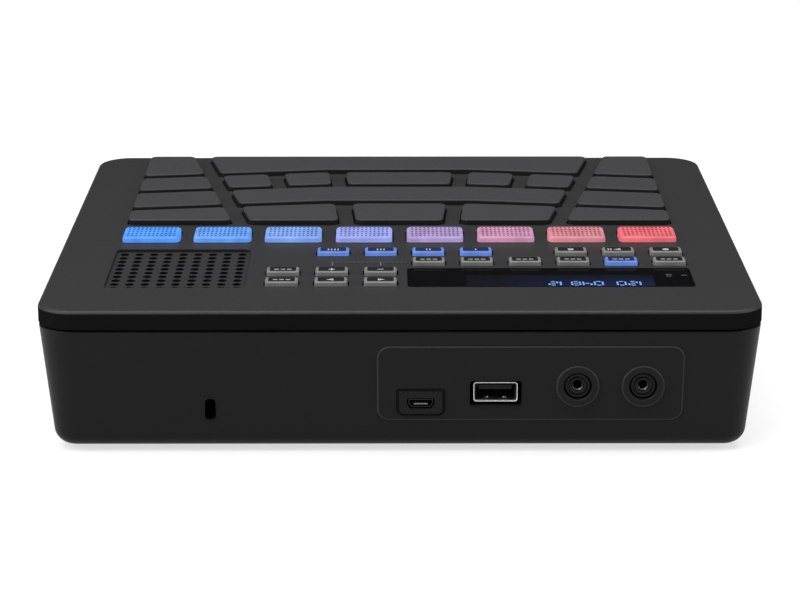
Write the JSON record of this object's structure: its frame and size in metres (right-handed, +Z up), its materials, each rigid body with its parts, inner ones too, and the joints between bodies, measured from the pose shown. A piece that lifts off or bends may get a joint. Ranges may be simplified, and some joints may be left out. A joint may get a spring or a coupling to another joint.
{
  "type": "finger drum pad",
  "caption": "Table-top finger drum pad: a flat dark case with rubber drum pads in bent rows, lit pads, buttons, a display, a speaker grille and rear sockets.",
  "frame": {"origin": "middle of the base, at the height of the feet's undersides", "axes": "+X to the player's right, +Y from the player to the rear sockets, +Z up"},
  "size_m": [0.233, 0.206, 0.0512],
  "materials": {
    "lid_plastic": "fine moulded grain, charcoal",
    "tub_plastic": "fine moulded grain, near black",
    "window_gloss": "smoked clear, polished",
    "display_glow": "blue display glass",
    "speaker_black": "black paper and stamped basket",
    "board_green": "green circuit board lacquer",
    "battery_wrap": "shrink-wrapped cells",
    "socket_steel": "plated sheet steel",
    "jack_plastic": "black moulded plastic",
    "foot_rubber": "soft black rubber",
    "screw_steel": "zinc-plated steel",
    "pad_rubber": "matt silicone rubber, dark grey",
    "button_grey": "satin translucent plastic, grey",
    "button_blue": "satin translucent plastic, lit blue",
    "light_1": "translucent silicone, lit from below",
    "light_2": "translucent silicone, lit from below",
    "light_3": "translucent silicone, lit from below",
    "light_4": "translucent silicone, lit from below",
    "light_5": "translucent silicone, lit from below",
    "light_6": "translucent silicone, lit from below",
    "light_7": "translucent silicone, lit from below",
    "light_8": "translucent silicone, lit from below"
  },
  "bodies": {
    "case": {"lid": "lid_plastic", "tub": "tub_plastic", "display_window": "window_gloss", "display_module": "display_glow", "speaker_driver": "speaker_black", "sensor_board": "board_green", "control_board": "board_green", "main_board": "board_green", "battery_pack": "battery_wrap", "usb_micro_socket": "socket_steel", "usb_a_socket": "socket_steel", "aux_jack": "jack_plastic", "phones_jack": "jack_plastic", "rubber_feet": "foot_rubber", "case_screws": "screw_steel"},
    "front_pad_1": {"front_pad_1": "pad_rubber"},
    "front_pad_2": {"front_pad_2": "pad_rubber"},
    "front_pad_3": {"front_pad_3": "pad_rubber"},
    "small_pad_1": {"small_pad_1": "pad_rubber"},
    "small_pad_2": {"small_pad_2": "pad_rubber"},
    "small_pad_3": {"small_pad_3": "pad_rubber"},
    "small_pad_4": {"small_pad_4": "pad_rubber"},
    "small_pad_5": {"small_pad_5": "pad_rubber"},
    "small_pad_6": {"small_pad_6": "pad_rubber"},
    "small_pad_7": {"small_pad_7": "pad_rubber"},
    "middle_pad_1": {"middle_pad_1": "pad_rubber"},
    "middle_pad_2": {"middle_pad_2": "pad_rubber"},
    "middle_pad_3": {"middle_pad_3": "pad_rubber"},
    "rear_pad_1": {"rear_pad_1": "pad_rubber"},
    "rear_pad_2": {"rear_pad_2": "pad_rubber"},
    "rear_pad_3": {"rear_pad_3": "pad_rubber"},
    "rear_pad_4": {"rear_pad_4": "pad_rubber"},
    "rear_pad_5": {"rear_pad_5": "pad_rubber"},
    "light_pad_1": {"light_pad_1": "light_1"},
    "light_pad_2": {"light_pad_2": "light_2"},
    "light_pad_3": {"light_pad_3": "light_3"},
    "light_pad_4": {"light_pad_4": "light_4"},
    "light_pad_5": {"light_pad_5": "light_5"},
    "light_pad_6": {"light_pad_6": "light_6"},
    "light_pad_7": {"light_pad_7": "light_7"},
    "light_pad_8": {"light_pad_8": "light_8"},
    "transport_button_1": {"transport_button_1": "button_grey"},
    "transport_button_2": {"transport_button_2": "button_grey"},
    "transport_button_3": {"transport_button_3": "button_grey"},
    "bank_button_1": {"bank_button_1": "button_blue"},
    "bank_button_2": {"bank_button_2": "button_blue"},
    "bank_button_3": {"bank_button_3": "button_blue"},
    "bank_button_4": {"bank_button_4": "button_blue"},
    "function_button_1": {"function_button_1": "button_grey"},
    "function_button_2": {"function_button_2": "button_blue"},
    "function_button_3": {"function_button_3": "button_grey"},
    "function_button_4": {"function_button_4": "button_grey"},
    "function_button_5": {"function_button_5": "button_grey"},
    "function_button_6": {"function_button_6": "button_grey"},
    "value_button_1": {"value_button_1": "button_grey"},
    "value_button_2": {"value_button_2": "button_grey"},
    "value_button_3": {"value_button_3": "button_grey"},
    "page_button_1": {"page_button_1": "button_grey"},
    "page_button_2": {"page_button_2": "button_grey"},
    "page_button_3": {"page_button_3": "button_grey"}
  },
  "joints": [
    {"name": "front_pad_1_press", "type": "slide", "parent": "case", "child": "front_pad_1", "axis": [0, 0, -1], "range_m": [0, 0.0008], "stiffness_N_per_m": 300, "springref_m": -0.002},
    {"name": "front_pad_2_press", "type": "slide", "parent": "case", "child": "front_pad_2", "axis": [0, 0, -1], "range_m": [0, 0.0008], "stiffness_N_per_m": 300, "springref_m": -0.002},
    {"name": "front_pad_3_press", "type": "slide", "parent": "case", "child": "front_pad_3", "axis": [0, 0, -1], "range_m": [0, 0.0008], "stiffness_N_per_m": 300, "springref_m": -0.002},
    {"name": "small_pad_1_press", "type": "slide", "parent": "case", "child": "small_pad_1", "axis": [0, 0, -1], "range_m": [0, 0.0008], "stiffness_N_per_m": 300, "springref_m": -0.002},
    {"name": "small_pad_2_press", "type": "slide", "parent": "case", "child": "small_pad_2", "axis": [0, 0, -1], "range_m": [0, 0.0008], "stiffness_N_per_m": 300, "springref_m": -0.002},
    {"name": "small_pad_3_press", "type": "slide", "parent": "case", "child": "small_pad_3", "axis": [0, 0, -1], "range_m": [0, 0.0008], "stiffness_N_per_m": 300, "springref_m": -0.002},
    {"name": "small_pad_4_press", "type": "slide", "parent": "case", "child": "small_pad_4", "axis": [0, 0, -1], "range_m": [0, 0.0008], "stiffness_N_per_m": 300, "springref_m": -0.002},
    {"name": "small_pad_5_press", "type": "slide", "parent": "case", "child": "small_pad_5", "axis": [0, 0, -1], "range_m": [0, 0.0008], "stiffness_N_per_m": 300, "springref_m": -0.002},
    {"name": "small_pad_6_press", "type": "slide", "parent": "case", "child": "small_pad_6", "axis": [0, 0, -1], "range_m": [0, 0.0008], "stiffness_N_per_m": 300, "springref_m": -0.002},
    {"name": "small_pad_7_press", "type": "slide", "parent": "case", "child": "small_pad_7", "axis": [0, 0, -1], "range_m": [0, 0.0008], "stiffness_N_per_m": 300, "springref_m": -0.002},
    {"name": "middle_pad_1_press", "type": "slide", "parent": "case", "child": "middle_pad_1", "axis": [0, 0, -1], "range_m": [0, 0.0008], "stiffness_N_per_m": 300, "springref_m": -0.002},
    {"name": "middle_pad_2_press", "type": "slide", "parent": "case", "child": "middle_pad_2", "axis": [0, 0, -1], "range_m": [0, 0.0008], "stiffness_N_per_m": 300, "springref_m": -0.002},
    {"name": "middle_pad_3_press", "type": "slide", "parent": "case", "child": "middle_pad_3", "axis": [0, 0, -1], "range_m": [0, 0.0008], "stiffness_N_per_m": 300, "springref_m": -0.002},
    {"name": "rear_pad_1_press", "type": "slide", "parent": "case", "child": "rear_pad_1", "axis": [0, 0, -1], "range_m": [0, 0.0008], "stiffness_N_per_m": 300, "springref_m": -0.002},
    {"name": "rear_pad_2_press", "type": "slide", "parent": "case", "child": "rear_pad_2", "axis": [0, 0, -1], "range_m": [0, 0.0008], "stiffness_N_per_m": 300, "springref_m": -0.002},
    {"name": "rear_pad_3_press", "type": "slide", "parent": "case", "child": "rear_pad_3", "axis": [0, 0, -1], "range_m": [0, 0.0008], "stiffness_N_per_m": 300, "springref_m": -0.002},
    {"name": "rear_pad_4_press", "type": "slide", "parent": "case", "child": "rear_pad_4", "axis": [0, 0, -1], "range_m": [0, 0.0008], "stiffness_N_per_m": 300, "springref_m": -0.002},
    {"name": "rear_pad_5_press", "type": "slide", "parent": "case", "child": "rear_pad_5", "axis": [0, 0, -1], "range_m": [0, 0.0008], "stiffness_N_per_m": 300, "springref_m": -0.002},
    {"name": "light_pad_1_press", "type": "slide", "parent": "case", "child": "light_pad_1", "axis": [0, 0, -1], "range_m": [0, 0.0008], "stiffness_N_per_m": 300, "springref_m": -0.002},
    {"name": "light_pad_2_press", "type": "slide", "parent": "case", "child": "light_pad_2", "axis": [0, 0, -1], "range_m": [0, 0.0008], "stiffness_N_per_m": 300, "springref_m": -0.002},
    {"name": "light_pad_3_press", "type": "slide", "parent": "case", "child": "light_pad_3", "axis": [0, 0, -1], "range_m": [0, 0.0008], "stiffness_N_per_m": 300, "springref_m": -0.002},
    {"name": "light_pad_4_press", "type": "slide", "parent": "case", "child": "light_pad_4", "axis": [0, 0, -1], "range_m": [0, 0.0008], "stiffness_N_per_m": 300, "springref_m": -0.002},
    {"name": "light_pad_5_press", "type": "slide", "parent": "case", "child": "light_pad_5", "axis": [0, 0, -1], "range_m": [0, 0.0008], "stiffness_N_per_m": 300, "springref_m": -0.002},
    {"name": "light_pad_6_press", "type": "slide", "parent": "case", "child": "light_pad_6", "axis": [0, 0, -1], "range_m": [0, 0.0008], "stiffness_N_per_m": 300, "springref_m": -0.002},
    {"name": "light_pad_7_press", "type": "slide", "parent": "case", "child": "light_pad_7", "axis": [0, 0, -1], "range_m": [0, 0.0008], "stiffness_N_per_m": 300, "springref_m": -0.002},
    {"name": "light_pad_8_press", "type": "slide", "parent": "case", "child": "light_pad_8", "axis": [0, 0, -1], "range_m": [0, 0.0008], "stiffness_N_per_m": 300, "springref_m": -0.002},
    {"name": "transport_button_1_press", "type": "slide", "parent": "case", "child": "transport_button_1", "axis": [0, 0, -1], "range_m": [0, 0.0008], "stiffness_N_per_m": 80, "springref_m": -0.004},
    {"name": "transport_button_2_press", "type": "slide", "parent": "case", "child": "transport_button_2", "axis": [0, 0, -1], "range_m": [0, 0.0008], "stiffness_N_per_m": 80, "springref_m": -0.004},
    {"name": "transport_button_3_press", "type": "slide", "parent": "case", "child": "transport_button_3", "axis": [0, 0, -1], "range_m": [0, 0.0008], "stiffness_N_per_m": 80, "springref_m": -0.004},
    {"name": "bank_button_1_press", "type": "slide", "parent": "case", "child": "bank_button_1", "axis": [0, 0, -1], "range_m": [0, 0.0008], "stiffness_N_per_m": 80, "springref_m": -0.004},
    {"name": "bank_button_2_press", "type": "slide", "parent": "case", "child": "bank_button_2", "axis": [0, 0, -1], "range_m": [0, 0.0008], "stiffness_N_per_m": 80, "springref_m": -0.004},
    {"name": "bank_button_3_press", "type": "slide", "parent": "case", "child": "bank_button_3", "axis": [0, 0, -1], "range_m": [0, 0.0008], "stiffness_N_per_m": 80, "springref_m": -0.004},
    {"name": "bank_button_4_press", "type": "slide", "parent": "case", "child": "bank_button_4", "axis": [0, 0, -1], "range_m": [0, 0.0008], "stiffness_N_per_m": 80, "springref_m": -0.004},
    {"name": "function_button_1_press", "type": "slide", "parent": "case", "child": "function_button_1", "axis": [0, 0, -1], "range_m": [0, 0.0008], "stiffness_N_per_m": 80, "springref_m": -0.004},
    {"name": "function_button_2_press", "type": "slide", "parent": "case", "child": "function_button_2", "axis": [0, 0, -1], "range_m": [0, 0.0008], "stiffness_N_per_m": 80, "springref_m": -0.004},
    {"name": "function_button_3_press", "type": "slide", "parent": "case", "child": "function_button_3", "axis": [0, 0, -1], "range_m": [0, 0.0008], "stiffness_N_per_m": 80, "springref_m": -0.004},
    {"name": "function_button_4_press", "type": "slide", "parent": "case", "child": "function_button_4", "axis": [0, 0, -1], "range_m": [0, 0.0008], "stiffness_N_per_m": 80, "springref_m": -0.004},
    {"name": "function_button_5_press", "type": "slide", "parent": "case", "child": "function_button_5", "axis": [0, 0, -1], "range_m": [0, 0.0008], "stiffness_N_per_m": 80, "springref_m": -0.004},
    {"name": "function_button_6_press", "type": "slide", "parent": "case", "child": "function_button_6", "axis": [0, 0, -1], "range_m": [0, 0.0008], "stiffness_N_per_m": 80, "springref_m": -0.004},
    {"name": "value_button_1_press", "type": "slide", "parent": "case", "child": "value_button_1", "axis": [0, 0, -1], "range_m": [0, 0.0008], "stiffness_N_per_m": 80, "springref_m": -0.004},
    {"name": "value_button_2_press", "type": "slide", "parent": "case", "child": "value_button_2", "axis": [0, 0, -1], "range_m": [0, 0.0008], "stiffness_N_per_m": 80, "springref_m": -0.004},
    {"name": "value_button_3_press", "type": "slide", "parent": "case", "child": "value_button_3", "axis": [0, 0, -1], "range_m": [0, 0.0008], "stiffness_N_per_m": 80, "springref_m": -0.004},
    {"name": "page_button_1_press", "type": "slide", "parent": "case", "child": "page_button_1", "axis": [0, 0, -1], "range_m": [0, 0.0008], "stiffness_N_per_m": 80, "springref_m": -0.004},
    {"name": "page_button_2_press", "type": "slide", "parent": "case", "child": "page_button_2", "axis": [0, 0, -1], "range_m": [0, 0.0008], "stiffness_N_per_m": 80, "springref_m": -0.004},
    {"name": "page_button_3_press", "type": "slide", "parent": "case", "child": "page_button_3", "axis": [0, 0, -1], "range_m": [0, 0.0008], "stiffness_N_per_m": 80, "springref_m": -0.004}
  ]
}
